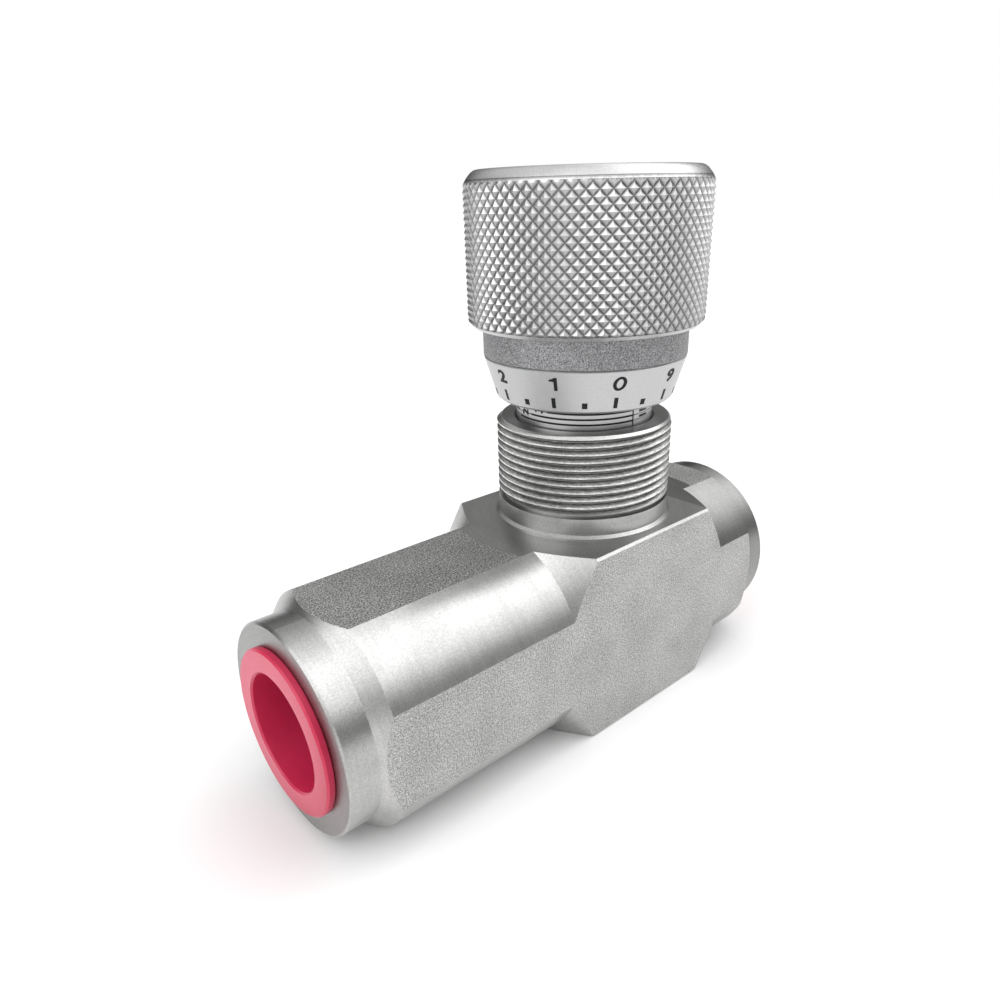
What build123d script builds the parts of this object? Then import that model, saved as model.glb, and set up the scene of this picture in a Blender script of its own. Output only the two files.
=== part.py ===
from build123d import *
import os
from math import cos, radians, sin, tan

# An in-line flow control valve: a throttle with a check valve beside it, set by a turned knob.
# The origin is on the bottom flat, right under the knob's axis. +Z is up along the knob and
# +X runs along the ports, towards the rear one. Everything is drawn at rest, in millimetres.

# ---- Body ----
BAR = 40.0                  # square bar, across its flats
BAR_EDGE = 0.5              # chamfer along the bar's corners
AXIS_Z = BAR / 2            # height of the ports' axis
FRONT_X = -71.0             # end face of the long end
REAR_X = 42.5               # end face of the short end
BLOCK_HALF = 17.16          # half length of the full square block
TURNED_R = 22.0             # turned ends, which keep narrow flats
RING_R = 19.2               # ring around each port
RING_LENGTH = 5.6

# ---- Ports: G3/4, drawn as plain bores of the thread's inner diameter behind a relief ----
PORT_R = 12.06
RELIEF_R = 13.35
RELIEF_DEPTH = 8.0
PORT_DEPTH = 23.0

# ---- Neck and turn scale ----
NECK_R = 17.5               # M35 x 1.5
NECK_TOP = 60.3
NECK_CHAMFER = 0.6
NECK_PITCH = 1.5
THREAD_START = 44.6
THREAD_RELIEF = (44.1, 45.0)
NECK_BORE_R = 13.65
SLEEVE_R = 13.5
SLEEVE_TOP = 81.6
FIRST_RING_Z = 61.4
SCALE_RINGS = 9

# ---- Knob ----
DIAL_BOTTOM = 64.5
DIAL_BOTTOM_R = 17.4
DIAL_TOP = 72.6
BAND_R = 19.7
BAND_TOP = 78.0
KNURL_R = 22.5
KNOB_TOP = 104.8
SHOULDER = [(0.0, 2.9), (0.2, 2.2), (0.75, 1.3), (1.5, 0.45), (2.0, 0.1), (2.3, 0.0)]  # in, and down
SPIGOT_R = 16.0
KNOB_BORE_R = 13.9          # clears the turn-scale sleeve

# ---- Spindle ----
TURN_LIFT = 1.0             # rise for each turn of the knob
REST_TURNS = 3.92           # the setting it is drawn at
SEAT_R = 4.7
SEAT_TOP = 33.0
CONE_HALF_ANGLE = 30.0
SPINDLE_R = 6.82
SEAL_BORE_R = 6.9
SCREW_R = 5.0
SCREW_BORE_R = 5.08
STEM_R = 4.2

# ---- Check valve ----
CHAMBER_R = 10.0
CHECK_HOLE_R = 5.75
CHECK_SEAT_X = -21.0
RETAINER_X = -40.5

TOUCH = 0.02                # gap left between seats that meet at a stop
PORT_PLANE = Plane(origin=(0, 0, AXIS_Z), x_dir=(1, 0, 0), z_dir=(0, -1, 0))
PORT_AXIS = Axis((0, 0, AXIS_Z), (1, 0, 0))


def turn_z(outline, mode=Mode.ADD):
    """Revolve an outline of (radius, height) points about the knob's axis."""
    with BuildSketch(Plane.XZ) as profile:
        with BuildLine():
            Polyline(*outline, close=True)
        make_face()
    revolve(profile.sketch, axis=Axis.Z, mode=mode)


def turn_x(outline, mode=Mode.ADD):
    """Revolve an outline of (x, radius) points about the ports' axis."""
    with BuildSketch(PORT_PLANE) as profile:
        with BuildLine():
            Polyline(*outline, close=True)
        make_face()
    revolve(profile.sketch, axis=PORT_AXIS, mode=mode)


def ring(inner, outer, bottom, top, edge=0.1):
    """A plain ring about the knob's axis, with small outer chamfers."""
    turn_z([(inner, bottom), (outer - edge, bottom), (outer, bottom + edge),
            (outer, top - edge), (outer - edge, top), (inner, top)])


def o_ring(inner, section_r, height):
    """An O-ring about the knob's axis."""
    with BuildSketch(Plane.XZ) as profile:
        with Locations((inner + section_r, height)):
            Circle(section_r)
    revolve(profile.sketch, axis=Axis.Z)


def radial_plane(azimuth, height, distance):
    """A plane facing outwards from the knob's axis."""
    out = (cos(radians(azimuth)), sin(radians(azimuth)), 0)
    return Plane(origin=(out[0] * distance, out[1] * distance, height),
                 x_dir=(-out[1], out[0], 0), z_dir=out)


def radial_pin(azimuth, height, inner, outer, radius, mode=Mode.ADD):
    """A round pin or hole that points outwards from the knob's axis."""
    with BuildSketch(radial_plane(azimuth, height, inner)) as profile:
        Circle(radius)
    extrude(profile.sketch, amount=outer - inner, mode=mode)


def radial_hex(azimuth, height, inner, outer, across_flats):
    """A hexagonal socket cut from outside."""
    with BuildSketch(radial_plane(azimuth, height, inner)) as profile:
        RegularPolygon(across_flats / 2, 6, major_radius=False)
    extrude(profile.sketch, amount=outer - inner, mode=Mode.SUBTRACT)


def save(builder, name):
    builder.part.label = name
    export_step(builder.part, f"parts/{name}.step")


os.makedirs("parts", exist_ok=True)

# ================= Body =================
CORNER_R = ((BAR / 2) ** 2 + (BAR / 2 - BAR_EDGE) ** 2) ** 0.5
BLOCK_CONE = CORNER_R - TURNED_R            # 45 degrees, down to the turned ends
RING_CONE = TURNED_R - RING_R               # 45 degrees, down to the end rings
RELIEF_CONE = RELIEF_R - PORT_R             # 45 degrees, from the relief to the thread
EDGE = 0.4
GROOVE_DEPTH = 0.92
BEAD_R = NECK_R + 0.7
BEAD_HEIGHT = 0.3
COLLAR_BOTTOM = BAR + 0.8
BLANK_EXTRA = 4.0           # the neck is left this much long until its thread has been cut
THREAD_TURN = -14           # where the thread runs out
CAVITY_END = -18.0
WEB_END = -4.0
REAR_BORE_R = 8.5
CIRCLIP_X = (-45.2, -43.9)
CIRCLIP_GROOVE_R = 10.9
CHAMBER_TOP = 44.0
BONNET_THREAD_R = 12.5
BONNET_SHOULDER = 56.0
SEAT_BORE_R = 7.0
SEAT_BOTTOM = 29.0
SEAT_FLOOR = 31.5
DRILLING_R = 2.6
DRILLING_WAY = Vector(15.0, 0, 6.75).normalized()
DRILLING_START = Vector(-25.0, 0, 29.2) - DRILLING_WAY * 4
DRILLING_LENGTH = 24.0

with BuildPart() as valve_body:
    with BuildSketch(Plane.YZ.offset(FRONT_X)):
        with Locations((0, AXIS_Z)):
            Rectangle(BAR, BAR)
    extrude(amount=REAR_X - FRONT_X)
    chamfer(valve_body.edges().filter_by(Axis.X), BAR_EDGE)
    turn_x([
        (FRONT_X, 0), (FRONT_X, RING_R - EDGE), (FRONT_X + EDGE, RING_R),
        (FRONT_X + RING_LENGTH, RING_R), (FRONT_X + RING_LENGTH + RING_CONE, TURNED_R),
        (-BLOCK_HALF - BLOCK_CONE, TURNED_R), (-BLOCK_HALF, CORNER_R),
        (BLOCK_HALF, CORNER_R), (BLOCK_HALF + BLOCK_CONE, TURNED_R),
        (REAR_X - RING_LENGTH - RING_CONE, TURNED_R), (REAR_X - RING_LENGTH, RING_R),
        (REAR_X - EDGE, RING_R), (REAR_X, RING_R - EDGE), (REAR_X, 0),
    ], mode=Mode.INTERSECT)
    blank_top = NECK_TOP + BLANK_EXTRA
    turn_z([(0, BAR - 2), (BEAD_R, BAR - 2), (BEAD_R, BAR + BEAD_HEIGHT),
            (NECK_R, COLLAR_BOTTOM), (NECK_R, blank_top), (0, blank_top)])
    root_r = NECK_R - GROOVE_DEPTH
    groove_path = Edge.make_helix(NECK_PITCH, blank_top - 1 - THREAD_START, root_r,
                                  center=(0, 0, THREAD_START))
    root_half = NECK_PITCH / 16
    reach = GROOVE_DEPTH + 0.3
    open_half = root_half + reach * tan(radians(30))
    with BuildSketch(Plane(origin=(root_r, 0, THREAD_START), x_dir=(1, 0, 0), z_dir=(0, 1, 0)),
                     mode=Mode.PRIVATE) as groove_profile:
        with BuildLine():
            Polyline((0, -root_half), (0, root_half), (reach, open_half), (reach, -open_half),
                     close=True)
        make_face()
    groove = sweep(groove_profile.sketch, path=groove_path, is_frenet=True, mode=Mode.PRIVATE)
    add(groove.rotate(Axis.Z, THREAD_TURN), mode=Mode.SUBTRACT)
    # A narrow relief parts the thread from the plain collar that centres the valve in a panel.
    turn_z([(root_r - 0.1, THREAD_RELIEF[0]), (NECK_R + 1, THREAD_RELIEF[0]),
            (NECK_R + 1, THREAD_RELIEF[1]), (root_r - 0.1, THREAD_RELIEF[1])], mode=Mode.SUBTRACT)
    turn_z([(NECK_R - NECK_CHAMFER, NECK_TOP), (NECK_R + NECK_CHAMFER, NECK_TOP - 2 * NECK_CHAMFER),
            (NECK_R + NECK_CHAMFER, blank_top + 1), (0, blank_top + 1), (0, NECK_TOP)],
           mode=Mode.SUBTRACT)
    # One straight run of bores joins the two ports through the check valve's cavity.
    turn_x([
        (FRONT_X, 0), (FRONT_X, RELIEF_R), (FRONT_X + RELIEF_DEPTH, RELIEF_R),
        (FRONT_X + RELIEF_DEPTH + RELIEF_CONE, PORT_R), (FRONT_X + PORT_DEPTH, PORT_R),
        (FRONT_X + PORT_DEPTH, CHAMBER_R),
        (CIRCLIP_X[0], CHAMBER_R), (CIRCLIP_X[0], CIRCLIP_GROOVE_R),
        (CIRCLIP_X[1], CIRCLIP_GROOVE_R), (CIRCLIP_X[1], CHAMBER_R),
        (CAVITY_END, CHAMBER_R), (CAVITY_END, CHECK_HOLE_R), (WEB_END, CHECK_HOLE_R),
        (WEB_END, REAR_BORE_R), (REAR_X - PORT_DEPTH, REAR_BORE_R),
        (REAR_X - PORT_DEPTH, PORT_R), (REAR_X - RELIEF_DEPTH - RELIEF_CONE, PORT_R),
        (REAR_X - RELIEF_DEPTH, RELIEF_R), (REAR_X, RELIEF_R), (REAR_X, 0),
    ], mode=Mode.SUBTRACT)
    # The stepped bore for the bonnet goes down through the throttle's seat to the rear port.
    turn_z([
        (0, AXIS_Z), (SEAT_R + 0.5, AXIS_Z), (SEAT_R + 0.5, SEAT_BOTTOM),
        (SEAT_BORE_R, SEAT_BOTTOM), (SEAT_BORE_R, SEAT_FLOOR), (CHAMBER_R, SEAT_FLOOR),
        (CHAMBER_R, CHAMBER_TOP), (BONNET_THREAD_R, CHAMBER_TOP),
        (BONNET_THREAD_R, BONNET_SHOULDER), (NECK_BORE_R, BONNET_SHOULDER),
        (NECK_BORE_R, NECK_TOP - 0.4), (NECK_BORE_R + 0.4, NECK_TOP), (0, NECK_TOP),
    ], mode=Mode.SUBTRACT)
    # A slanted drilling feeds the throttle's chamber from the check valve's cavity.
    with BuildSketch(Plane(origin=DRILLING_START, z_dir=DRILLING_WAY)):
        Circle(DRILLING_R)
    extrude(amount=DRILLING_LENGTH, mode=Mode.SUBTRACT)
save(valve_body, "valve_body")

# ================= Throttle seat, and the check valve's fixed parts =================
with BuildPart() as throttle_seat:
    turn_z([(SEAT_R, SEAT_BOTTOM), (SEAT_BORE_R, SEAT_BOTTOM), (SEAT_BORE_R, SEAT_FLOOR),
            (SEAT_BORE_R + 1.2, SEAT_FLOOR), (SEAT_BORE_R + 1.2, SEAT_TOP), (SEAT_R, SEAT_TOP)])
save(throttle_seat, "throttle_seat")

with BuildPart() as check_seat:
    turn_x([(CHECK_SEAT_X, CHECK_HOLE_R), (CHECK_SEAT_X, CHAMBER_R - 0.4),
            (CHECK_SEAT_X + 0.4, CHAMBER_R), (CAVITY_END, CHAMBER_R), (CAVITY_END, CHECK_HOLE_R)])
save(check_seat, "check_seat")

POPPET_STEM_R = 4.0
GUIDE_R = 4.1
RETAINER_R = 9.95
FLOW_HOLES = 6
FLOW_HOLE_R = 1.7
FLOW_HOLES_R = 7.2          # circle that the flow holes lie on
CIRCLIP_INNER_R = 8.8
CIRCLIP_GAP = 7.0
with BuildPart() as spring_retainer:
    turn_x([(CIRCLIP_X[1], GUIDE_R), (CIRCLIP_X[1], RETAINER_R), (RETAINER_X, RETAINER_R),
            (RETAINER_X, GUIDE_R)])
    with BuildSketch(Plane.YZ.offset(CIRCLIP_X[1] - 1)):
        with Locations((0, AXIS_Z)):
            with PolarLocations(FLOW_HOLES_R, FLOW_HOLES):
                Circle(FLOW_HOLE_R)
    extrude(amount=6, mode=Mode.SUBTRACT)
save(spring_retainer, "spring_retainer")

with BuildPart() as retainer_ring:
    turn_x([(CIRCLIP_X[0] + 0.1, CIRCLIP_INNER_R), (CIRCLIP_X[0] + 0.1, CIRCLIP_GROOVE_R - 0.05),
            (CIRCLIP_X[1], CIRCLIP_GROOVE_R - 0.05), (CIRCLIP_X[1], CIRCLIP_INNER_R)])
    with BuildSketch(Plane.YZ.offset(CIRCLIP_X[0] - 1)):
        with Locations((0, AXIS_Z - CHAMBER_R)):
            Rectangle(CIRCLIP_GAP, CIRCLIP_GAP + 1)
    extrude(amount=4, mode=Mode.SUBTRACT)
save(retainer_ring, "retainer_ring")

# ================= Check poppet and its spring =================
POPPET_R = 8.2
POPPET_NOSE_R = 3.2
POPPET_BACK = -26.5
POPPET_TAIL = -46.0
POPPET_BORE_R = 2.5
contact_x = CHECK_SEAT_X - TOUCH
with BuildPart() as check_poppet:
    turn_x([
        (contact_x + CHECK_HOLE_R - POPPET_NOSE_R, 0),
        (contact_x + CHECK_HOLE_R - POPPET_NOSE_R, POPPET_NOSE_R),
        (contact_x + CHECK_HOLE_R - POPPET_R, POPPET_R),
        (POPPET_BACK, POPPET_R), (POPPET_BACK, POPPET_STEM_R), (POPPET_TAIL + 0.5, POPPET_STEM_R),
        (POPPET_TAIL, POPPET_STEM_R - 0.5), (POPPET_TAIL, POPPET_BORE_R),
        (POPPET_BACK + 1, POPPET_BORE_R), (POPPET_BACK + 1, 0),
    ])
save(check_poppet, "check_poppet")

SPRING_R = 6.0
SPRING_WIRE_R = 0.6
SPRING_TURNS = 6
with BuildPart() as check_spring:
    spring_start = RETAINER_X + SPRING_WIRE_R + 0.05
    spring_length = POPPET_BACK - SPRING_WIRE_R - 0.05 - spring_start
    coil = Edge.make_helix(spring_length / SPRING_TURNS, spring_length, SPRING_R,
                           center=(spring_start, 0, AXIS_Z), normal=(1, 0, 0))
    with BuildSketch(Plane(origin=coil @ 0, z_dir=coil % 0)) as wire:
        Circle(SPRING_WIRE_R)
    sweep(wire.sketch, path=coil, is_frenet=True)
save(check_spring, "check_spring")

# ================= Bonnet with the turn scale, and its seals =================
NOSE_R = 9.95
NOSE_BOTTOM = 38.6
NOSE_GROOVE = (39.6, 43.4)
NOSE_GROOVE_R = 8.0
SEAL_BORE_TOP = 54.5
WIPER_BOTTOM = 77.6
WIPER_BORE_R = 6.5
RING_CUT = 0.12             # depth of the turn scale's grooves
O_RING_R = 0.95

with BuildPart() as bonnet:
    turn_z([
        (SEAL_BORE_R, NOSE_BOTTOM), (NOSE_R, NOSE_BOTTOM), (NOSE_R, NOSE_GROOVE[0]),
        (NOSE_GROOVE_R, NOSE_GROOVE[0]), (NOSE_GROOVE_R, NOSE_GROOVE[1]), (NOSE_R, NOSE_GROOVE[1]),
        (NOSE_R, CHAMBER_TOP), (BONNET_THREAD_R, CHAMBER_TOP), (BONNET_THREAD_R, BONNET_SHOULDER),
        (SLEEVE_R, BONNET_SHOULDER), (SLEEVE_R, SLEEVE_TOP - 0.6), (SLEEVE_R - 0.6, SLEEVE_TOP),
        (WIPER_BORE_R, SLEEVE_TOP), (WIPER_BORE_R, WIPER_BOTTOM), (SCREW_BORE_R, WIPER_BOTTOM),
        (SCREW_BORE_R, SEAL_BORE_TOP), (SEAL_BORE_R, SEAL_BORE_TOP),
    ])
    for turn in range(SCALE_RINGS):
        mark = FIRST_RING_Z + turn * TURN_LIFT
        turn_z([(SLEEVE_R - RING_CUT, mark), (SLEEVE_R + 1, mark - RING_CUT - 1),
                (SLEEVE_R + 1, mark + RING_CUT + 1)], mode=Mode.SUBTRACT)
save(bonnet, "bonnet")

with BuildPart() as bonnet_o_ring:
    o_ring(NOSE_GROOVE_R + 0.03, O_RING_R, NOSE_GROOVE[0] + 1.0)
save(bonnet_o_ring, "bonnet_o_ring")

with BuildPart() as bonnet_backup_ring:
    ring(NOSE_GROOVE_R + 0.03, NOSE_R, NOSE_GROOVE[1] - 1.4, NOSE_GROOVE[1])
save(bonnet_backup_ring, "bonnet_backup_ring")

with BuildPart() as stem_wiper:
    ring(STEM_R + 0.1, WIPER_BORE_R, WIPER_BOTTOM, SLEEVE_TOP - 0.6)
save(stem_wiper, "stem_wiper")

# ================= Spindle and its seals =================
SPINDLE_GROOVE = (43.0, 46.8)
SPINDLE_GROOVE_R = 5.1
SEAL_GAP = 0.08
SPINDLE_TIP_R = 1.3
SPINDLE_CONE_R = 5.4
SPINDLE_BODY_BOTTOM = 39.2
SPINDLE_BODY_TOP = 50.0
SCREW_TOP = 70.0
STEM_TOP = 97.0
KNOB_SCREW_R = 2.5
KNOB_SCREW_BOTTOM = 86.5
seat_z = SEAT_TOP + REST_TURNS * TURN_LIFT + TOUCH
slope = tan(radians(CONE_HALF_ANGLE))

with BuildPart() as spindle:
    turn_z([
        (0, seat_z - (SEAT_R - SPINDLE_TIP_R) / slope),
        (SPINDLE_TIP_R, seat_z - (SEAT_R - SPINDLE_TIP_R) / slope),
        (SPINDLE_CONE_R, seat_z + (SPINDLE_CONE_R - SEAT_R) / slope),
        (SPINDLE_CONE_R, SPINDLE_BODY_BOTTOM), (SPINDLE_R - 0.5, SPINDLE_BODY_BOTTOM),
        (SPINDLE_R, SPINDLE_BODY_BOTTOM + 0.5), (SPINDLE_R, SPINDLE_GROOVE[0]),
        (SPINDLE_GROOVE_R, SPINDLE_GROOVE[0]), (SPINDLE_GROOVE_R, SPINDLE_GROOVE[1]),
        (SPINDLE_R, SPINDLE_GROOVE[1]), (SPINDLE_R, SPINDLE_BODY_TOP), (SCREW_R, SPINDLE_BODY_TOP),
        (SCREW_R, SCREW_TOP - 0.8), (STEM_R, SCREW_TOP), (STEM_R, STEM_TOP - 0.5),
        (STEM_R - 0.5, STEM_TOP), (KNOB_SCREW_R, STEM_TOP), (KNOB_SCREW_R, KNOB_SCREW_BOTTOM),
        (0, KNOB_SCREW_BOTTOM),
    ])
save(spindle, "spindle")

with BuildPart() as spindle_o_ring:
    section_r = (SEAL_BORE_R - SPINDLE_GROOVE_R) / 2 - SEAL_GAP
    o_ring(SPINDLE_GROOVE_R + SEAL_GAP, section_r, SPINDLE_GROOVE[0] + 1.0)
save(spindle_o_ring, "spindle_o_ring")

with BuildPart() as spindle_backup_ring:
    ring(SPINDLE_GROOVE_R + SEAL_GAP, SEAL_BORE_R - SEAL_GAP,
         SPINDLE_GROOVE[1] - 1.5, SPINDLE_GROOVE[1] - 0.1)
save(spindle_backup_ring, "spindle_backup_ring")

# ================= Knob =================
SPIGOT_BOTTOM = 66.5
KNOB_CAVITY_TOP = 86.0
KNURL_LIP = 1.2
RECESS_R = 15.0
RECESS_DEPTH = 0.8
HEAD_SINK_R = 4.8
HEAD_SINK_FLOOR = 97.2
GRUB_AZIMUTHS = (0, 90)
GRUB_Z = 91.0
GRUB_HOLE_R = 2.5
LOCK_AZIMUTH = 45
LOCK_Z = 75.3
LOCK_HOLE_R = 2.1
PAD_END = 15.0

with BuildPart() as knob_grip:
    turn_z([
        (KNOB_BORE_R, SPIGOT_BOTTOM), (SPIGOT_R, SPIGOT_BOTTOM), (SPIGOT_R, BAND_TOP),
        (KNURL_R - KNURL_LIP, BAND_TOP), (KNURL_R, BAND_TOP + KNURL_LIP),
        *[(KNURL_R - inset, KNOB_TOP - drop) for inset, drop in SHOULDER], (RECESS_R, KNOB_TOP),
        (RECESS_R - RECESS_DEPTH / 2, KNOB_TOP - RECESS_DEPTH), (HEAD_SINK_R, KNOB_TOP - RECESS_DEPTH),
        (HEAD_SINK_R, HEAD_SINK_FLOOR), (STEM_R + 0.03, HEAD_SINK_FLOOR),
        (STEM_R + 0.03, KNOB_CAVITY_TOP), (KNOB_BORE_R, KNOB_CAVITY_TOP),
    ])
    for azimuth in GRUB_AZIMUTHS:
        radial_pin(azimuth, GRUB_Z, 2, KNURL_R + 2, GRUB_HOLE_R, mode=Mode.SUBTRACT)
    radial_pin(LOCK_AZIMUTH, LOCK_Z, 10, BAND_R + 2, LOCK_HOLE_R, mode=Mode.SUBTRACT)
save(knob_grip, "knob_grip")

with BuildPart() as band_ring:
    ring(SPIGOT_R, BAND_R, DIAL_TOP, BAND_TOP, edge=0.2)
    radial_pin(LOCK_AZIMUTH, LOCK_Z, 10, BAND_R + 2, LOCK_HOLE_R, mode=Mode.SUBTRACT)
save(band_ring, "band_ring")

with BuildPart() as dial_ring:
    turn_z([
        (KNOB_BORE_R, DIAL_BOTTOM + 0.5), (KNOB_BORE_R + 0.5, DIAL_BOTTOM),
        (DIAL_BOTTOM_R - 0.5, DIAL_BOTTOM), (DIAL_BOTTOM_R - 0.05, DIAL_BOTTOM + 0.4),
        (BAND_R - 0.1, DIAL_TOP - 0.3), (BAND_R - 0.4, DIAL_TOP), (SPIGOT_R, DIAL_TOP),
        (SPIGOT_R, SPIGOT_BOTTOM), (KNOB_BORE_R, SPIGOT_BOTTOM),
    ])
save(dial_ring, "dial_ring")

SCREW_HEAD_R = 4.25
SCREW_HEAD_TOP = 102.2
SCREW_HEAD_EDGE = 0.4
SCREW_SOCKET = 4.0          # across its flats
SCREW_SOCKET_DEPTH = 2.8
with BuildPart() as knob_screw:
    turn_z([(0, KNOB_SCREW_BOTTOM + 0.5), (KNOB_SCREW_R, KNOB_SCREW_BOTTOM + 0.5),
            (KNOB_SCREW_R, HEAD_SINK_FLOOR), (SCREW_HEAD_R, HEAD_SINK_FLOOR),
            (SCREW_HEAD_R, SCREW_HEAD_TOP - SCREW_HEAD_EDGE),
            (SCREW_HEAD_R - SCREW_HEAD_EDGE, SCREW_HEAD_TOP), (0, SCREW_HEAD_TOP)])
    with BuildSketch(Plane.XY.offset(SCREW_HEAD_TOP - SCREW_SOCKET_DEPTH)):
        RegularPolygon(SCREW_SOCKET / 2, 6, major_radius=False)
    extrude(amount=SCREW_SOCKET_DEPTH + 1, mode=Mode.SUBTRACT)
save(knob_screw, "knob_screw")

GRUB_LENGTH = 10.0
GRUB_SOCKET = 2.5           # across its flats
GRUB_SOCKET_DEPTH = 3.0
LOCK_SOCKET = 2.0
LOCK_SOCKET_DEPTH = 2.5
with BuildPart() as knob_grub_screws:
    for azimuth in GRUB_AZIMUTHS:
        start = STEM_R + 0.02
        radial_pin(azimuth, GRUB_Z, start, start + GRUB_LENGTH, GRUB_HOLE_R - 0.02)
        end = start + GRUB_LENGTH
        radial_hex(azimuth, GRUB_Z, end - GRUB_SOCKET_DEPTH, end + 1, GRUB_SOCKET)
save(knob_grub_screws, "knob_grub_screws")

with BuildPart() as lock_pad:
    radial_pin(LOCK_AZIMUTH, LOCK_Z, SLEEVE_R + 0.15, PAD_END, LOCK_HOLE_R - 0.1)
save(lock_pad, "lock_pad")

with BuildPart() as lock_screw:
    lock_end = BAND_R - 0.3
    radial_pin(LOCK_AZIMUTH, LOCK_Z, PAD_END, lock_end, LOCK_HOLE_R - 0.02)
    radial_hex(LOCK_AZIMUTH, LOCK_Z, lock_end - LOCK_SOCKET_DEPTH, lock_end + 1, LOCK_SOCKET)
save(lock_screw, "lock_screw")

# ================= Port plugs =================
FLANGE_R = 15.0
FLANGE_THICKNESS = 1.4
FLANGE_GAP = 0.05
SKIRT_R = 11.9
RIB_R = 13.0
RIB_SPACING = 2.4
RIB_HALF = 0.9
PLUG_BORE_R = 10.64
PLUG_REACH = 7.6
PLUG_FLOOR = 1.2
PLUG_EDGE = 0.35


def port_plug(face_x, outwards):
    """A moulded push-in cap, with two ribs on its skirt, for the port whose end face is at face_x."""
    def along(distance):
        return face_x + outwards * distance

    outline = [(along(-PLUG_REACH), 0), (along(-PLUG_REACH), SKIRT_R - 0.6),
               (along(-PLUG_REACH + 0.6), SKIRT_R)]
    for rib in (-2, -1):
        middle = rib * RIB_SPACING
        outline += [(along(middle - RIB_HALF), SKIRT_R), (along(middle), RIB_R),
                    (along(middle + RIB_HALF), SKIRT_R)]
    back = FLANGE_GAP
    front = FLANGE_GAP + FLANGE_THICKNESS
    outline += [
        (along(back), SKIRT_R), (along(back), FLANGE_R - 0.1), (along(back + 0.1), FLANGE_R),
        (along(front - PLUG_EDGE), FLANGE_R), (along(front), FLANGE_R - PLUG_EDGE),
        (along(front), PLUG_BORE_R + PLUG_EDGE), (along(front - PLUG_EDGE), PLUG_BORE_R),
        (along(-PLUG_REACH + PLUG_FLOOR), PLUG_BORE_R - 0.2), (along(-PLUG_REACH + PLUG_FLOOR), 0),
    ]
    turn_x(outline)


with BuildPart() as front_port_plug:
    port_plug(FRONT_X, -1)
save(front_port_plug, "front_port_plug")

with BuildPart() as rear_port_plug:
    port_plug(REAR_X, 1)
save(rear_port_plug, "rear_port_plug")
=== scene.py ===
"""Looks of an in-line flow control valve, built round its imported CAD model. Metres, +Z up."""
from math import cos, pi, radians, sin, sqrt

import bmesh
import bpy
from mathutils import Euler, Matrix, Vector


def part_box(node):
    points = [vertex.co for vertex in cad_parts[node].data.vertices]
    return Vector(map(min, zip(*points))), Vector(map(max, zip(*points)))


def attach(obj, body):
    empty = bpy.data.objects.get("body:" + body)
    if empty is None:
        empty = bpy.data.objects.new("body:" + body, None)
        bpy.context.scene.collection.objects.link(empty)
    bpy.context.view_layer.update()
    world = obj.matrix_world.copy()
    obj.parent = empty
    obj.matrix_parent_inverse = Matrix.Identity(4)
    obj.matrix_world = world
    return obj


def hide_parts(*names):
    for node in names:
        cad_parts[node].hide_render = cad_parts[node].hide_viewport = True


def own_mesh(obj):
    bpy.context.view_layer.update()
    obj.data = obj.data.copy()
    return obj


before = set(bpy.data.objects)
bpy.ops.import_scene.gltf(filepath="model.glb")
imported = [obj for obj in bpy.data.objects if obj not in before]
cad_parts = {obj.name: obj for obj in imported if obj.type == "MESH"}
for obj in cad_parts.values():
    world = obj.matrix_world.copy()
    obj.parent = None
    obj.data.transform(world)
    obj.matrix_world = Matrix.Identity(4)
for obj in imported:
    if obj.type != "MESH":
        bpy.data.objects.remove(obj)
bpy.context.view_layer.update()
MM = 0.001

# ---------------------------------------------------------------- places, from the frame
body_low, body_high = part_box("valve_body")
grip_low, grip_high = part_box("knob_grip")
band_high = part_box("band_ring")[1]
dial_low, dial_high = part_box("dial_ring")
PLUG_FACE_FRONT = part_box("front_port_plug")[0].x
PLUG_FACE_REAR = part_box("rear_port_plug")[1].x
AXIS_Z = (body_high.y - body_low.y) / 2     # the ports' axis
BODY_MIDDLE = (body_low.x + body_high.x) / 2 / MM
BODY_HALF = (body_high.x - body_low.x) / 2 / MM
NECK_TOP = body_high.z
GRIP_R = grip_high.x
BAND_R = band_high.x
SLEEVE_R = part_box("bonnet")[1].x
SPRING_LOW, SPRING_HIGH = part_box("check_spring")

# ---------------------------------------------------------------- zones of the materials, in millimetres
PLUG_BORE_R = 10.95             # just outside the cups' bores
MILLED_R = 27.5                 # of the circle milled round the neck
BLOCK_HALF = 17.2               # half length of the square block between the turned ends
FRONT_RING_LENGTH = 5.5
THREAD_ROOT_R = 16.58           # of the neck's thread
THREAD_BOTTOM = 45.3
NECK_CHAMFER = 0.6
FLAT_SKIN = 0.03                # how near to a flat still counts as on it
END_SKIN = 0.05                 # the same for the ends of the body, the caps and the knurl
NECK_SKIN = 0.02                # the same for the neck's top

# ---------------------------------------------------------------- sizes of what is added
GRIP_CAVITY_TOP = 86.0 * MM     # inside the grip, as in its CAD solid
GRIP_SPIGOT_R = 16.0 * MM
GRIP_BORE_R = 13.9 * MM
GRIP_SINK_R = 4.8 * MM          # the counterbore of the knob's screw
GRIP_SINK_FLOOR = 97.2 * MM
GRIP_STEM_R = 4.23 * MM
RECESS_DEPTH = 0.8 * MM         # the shallow dish in the grip's top
RECESS_EDGE_R = 15.0 * MM
RECESS_FLOOR_R = 14.6 * MM
GRUB_HOLE_R = 2.5 * MM
GRUB_AZIMUTHS = (0, 90)
LOCK_HOLE_R = 2.1 * MM
LOCK_AZIMUTH = 45
KNURL_AROUND = 64               # starts of each hand of the knurl's grooves
KNURL_DEPTH = 0.52 * MM
KNURL_END = (2.3, 1.9)          # the knurl fades out between these drops below the top, in mm
KNURL_STEPS = 3                 # mesh steps across half a diamond
LIP = 1.2 * MM
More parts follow.
